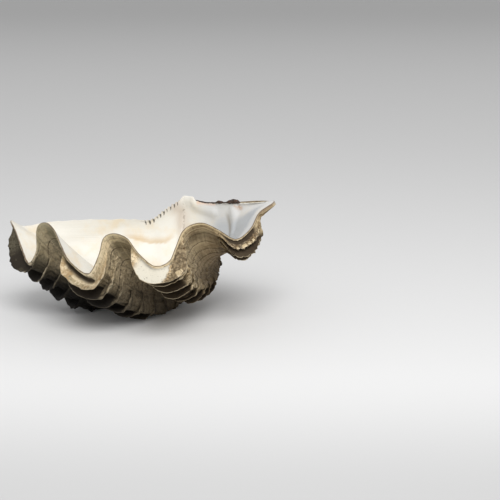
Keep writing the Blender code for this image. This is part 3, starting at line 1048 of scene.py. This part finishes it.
        # Painted shade in the hollow of the left cup, seen end on
        outer = self.coat(outer, "left cup", left_cup, 0.8)
        side = self.mix(self.rise(self.grain, 0.45, 0.60), "left side", "left side grain")
        outer = self.coat(outer, side, left_side, 0.85)

        rough = self.mix(self.rise(self.patches, 0.40, 0.60), "rough face", "rough face patch")
        rough = self.coat(rough, "rough face pit", self.pits,
                          self.plus(0.15, self.times(self.right, 0.7)))
        rough = self.coat(rough, "far right face", self.far_right, 0.45)
        holes = self.rise(self.noise(1.8, 5, 0.8), 0.50, 0.56)
        rough = self.coat(rough, "far right hole", self.far_right, holes, 0.7)
        face = self.mix(self.rise(self.fresh, 0.6, 0.9), rough, "fresh face")
        outer = self.coat(outer, face, self.rise(self.fresh, 0.1, 0.45))

        edge = self.times(self.rise(self.value("lip"), 0.35, 0.95),
                          self.rise(self.noise(6, 4), 0.36, 0.54),
                          self.rise(self.grown, 110.0, 30.0), self.front, self.rest(left_side))
        on_rib = self.plus(0.10, self.times(self.value("rib"), 0.85))
        outer = self.coat(outer, "lip", edge, on_rib)
        return self.coat(outer, "grain", self.rise(self.grain, 0.58, 0.70), 0.7)

    def low_parts(self, outer):
        """Painted shade on the lower parts, and the bare back edge."""
        up = self.axis("Z")
        kept_pale = self.times(self.pale_and_lit_flank, self.rise(self.across, 0.030, 0.055))
        # Painted shade, darker lower down and on the left, kept off the pale flanks on the right
        outer = self.coat(outer, "low", self.rise(up, 0.085, 0.012),
                          self.plus(0.45, self.times(self.left, 0.5)), self.rest(kept_pale))
        outer = self.coat(outer, "lowest", self.rise(up, 0.070, 0.030),
                          self.rise(self.left, 0.3, 0.8), self.front, 0.8)
        return self.coat(outer, "back edge", self.rest(self.front),
                         self.rise(self.grown, 5.0, 1.5))

    def inner(self):
        """Porcelain white, creamy in clouds, with painted shade in grey under the hinge."""
        inner = self.mix(self.rise(self.cloud, 0.42, 0.72), "porcelain", "cream cloud")
        # Painted shade in grey on the right, deeper further from the rim
        inner = self.coat(inner, "grey", self.rise(self.across, 0.058, 0.084),
                          self.rise(self.cloud, 0.95, 0.45), 0.9)
        inner = self.coat(inner, "deep grey", self.rise(self.across, 0.076, 0.092),
                          self.rise(self.grown, 8.0, 30.0), 0.8)
        inner = self.coat(inner, "shade", self.value("shade"), 0.9)
        inner = self.coat(inner, "scar", self.value("scar"), 0.75)
        # Painted shadow that the fold ridge casts into the crease
        inner = self.coat(inner, "crease_shade", self.value("crease_shade"), 0.7)
        inner = self.coat(inner, "speck", self.value("specks"),
                          self.rise(self.noise(2.5, 3), 0.50, 0.58), 0.6)
        line = self.rise(self.plus(self.grown, self.times(self.noise(5, 4), 3.0)), 3.6, 1.6)
        inner = self.coat(inner, "rim line", line, self.front, 0.9)
        inner = self.coat(inner, "orange", self.value("orange"), 0.5)
        return self.coat(inner, "stain", self.value("stain"),
                         self.rise(self.patches, 0.40, 0.56), 0.7)

    def roughness(self, inside):
        node = self.add("ShaderNodeMix")
        self.feed(node.inputs[0], inside)
        self.feed(node.inputs[2], self.plus(0.72, self.times(self.grain, 0.25)))
        self.feed(node.inputs[3], self.plus(0.30, self.times(self.cloud, 0.22)))
        return node.outputs[0]

    def relief(self, inside):
        outer = self.plus(self.times(self.bands, 0.7), self.times(self.grain, 0.55),
                          self.times(self.patches, 0.6),
                          self.times(self.crumbled, self.pits, -0.8),
                          self.times(self.fresh, self.far_right, self.pits, -1.2))
        lines = self.times(self.lines(self.grown, 3.0), self.rise(self.grown, 60.0, 5.0))
        inner = self.plus(lines, self.times(self.cloud, 0.4))
        return self.plus(self.times(outer, self.rest(inside)), self.times(inner, inside, 0.25))


def add_ligament(growth):
    """The dried ligament: a lumpy cord along the edge of the hinge."""
    share = np.linspace(LIGAMENT_POINTS[0][0], LIGAMENT_POINTS[-1][0], LIGAMENT_RINGS)
    radius = np.interp(share, *zip(*LIGAMENT_POINTS))
    window = 2 * LIGAMENT_SMOOTHING + 1
    radius = np.pad(radius, LIGAMENT_SMOOTHING, mode="edge")
    radius = np.convolve(radius, np.ones(window) / window, mode="valid")
    place = blend(growth.start["hinge"], growth.start["right tip"], share) * RIM_STATIONS
    rim = np.stack([np.interp(place, np.arange(RIM_STATIONS), growth.rim[:, k])
                    for k in range(3)], axis=1)
    rng = np.random.default_rng(LIGAMENT_SEED)
    turn = np.linspace(0, 2 * np.pi, LIGAMENT_SIDES, endpoint=False)
    rows = []
    for ring in range(LIGAMENT_RINGS):
        size = np.ones(LIGAMENT_SIDES)
        for count, height, twist in LIGAMENT_LUMPS:
            size += height * np.sin(count * turn + twist * ring)
        size += rng.uniform(-LIGAMENT_GRAIN, LIGAMENT_GRAIN, LIGAMENT_SIDES)
        size = (radius[ring] * size)[:, None]
        centre = rim[ring] + LIGAMENT_LIFT * radius[ring] * LIGAMENT_UP
        rows.append(centre + np.cos(turn)[:, None] * size * LIGAMENT_ACROSS
                    + np.sin(turn)[:, None] * size * LIGAMENT_UP)
    places = placed(np.vstack(rows))
    faces = tube_faces(LIGAMENT_RINGS, LIGAMENT_SIDES)
    faces.append((0, *reversed(range(1, LIGAMENT_SIDES))))
    faces.append(tuple(range(len(places) - LIGAMENT_SIDES, len(places))))
    ligament = add_object("dried_ligament", places, faces, ligament_finish())
    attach(ligament, "root")
    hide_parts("ligament")


def ligament_finish():
    finish = Finish("dried ligament")
    streaks = finish.noise(1.6, 5, 0.7)
    colour = finish.mix(finish.rise(streaks, 0.42, 0.62), "ligament", "ligament streak")
    colour = finish.coat(colour, "ligament patch", finish.rise(finish.noise(5), 0.58, 0.70))
    finish.give("Base Color", colour)
    finish.give("Roughness", finish.plus(0.30, finish.times(streaks, 0.4)))
    finish.bump(streaks, LIGAMENT_RELIEF)
    return finish.material


def add_floor():
    corners = np.array([(-1, -1, 0), (1, -1, 0), (1, 1, 0), (-1, 1, 0)]) * FLOOR_REACH
    add_object("floor", corners, [(0, 1, 2, 3)], floor_finish())


def floor_finish():
    """Pale grey: painted light near the shell, a little darker far behind it and close in front of
    the camera as painted shade.
    """
    finish = Finish("pale floor")
    back = finish.axis("Y")
    colour = finish.mix(finish.rise(back, *BEHIND_RANGE), grey(FLOOR_GREY), grey(BEHIND_GREY))
    colour = finish.mix(finish.rise(back, *FRONT_RANGE), colour, grey(FRONT_GREY))
    finish.give("Base Color", colour)
    finish.give("Roughness", FLOOR_ROUGHNESS)
    return finish.material


def add_lamp():
    light = bpy.data.lights.new("key", "AREA")
    light.energy = LAMP_POWER
    light.size = LAMP_SIZE
    lamp = bpy.data.objects.new("key", light)
    bpy.context.scene.collection.objects.link(lamp)
    lamp.location = LAMP_PLACE
    lamp.rotation_euler = (LAMP_TARGET - LAMP_PLACE).to_track_quat("-Z", "Y").to_euler()


def add_camera():
    view = bpy.data.cameras.new("camera")
    view.sensor_width = CAMERA_SENSOR
    view.lens = CAMERA_LENS
    camera = bpy.data.objects.new("camera", view)
    bpy.context.scene.collection.objects.link(camera)
    camera.location = placed(np.array(CAMERA_PLACE))
    camera.rotation_euler = (math.radians(90 - CAMERA_TILT), 0.0, 0.0)
    bpy.context.scene.camera = camera


def add_sky():
    world = bpy.data.worlds.new("studio")
    bpy.context.scene.world = world
    world.use_nodes = True
    background = world.node_tree.nodes["Background"]
    background.inputs["Color"].default_value = grey(SKY_GREY)
    background.inputs["Strength"].default_value = SKY_STRENGTH


bpy.context.scene.view_settings.view_transform = "Standard"
growth = Growth()
add_valve(growth)
add_ligament(growth)
add_floor()
add_lamp()
add_camera()
add_sky()
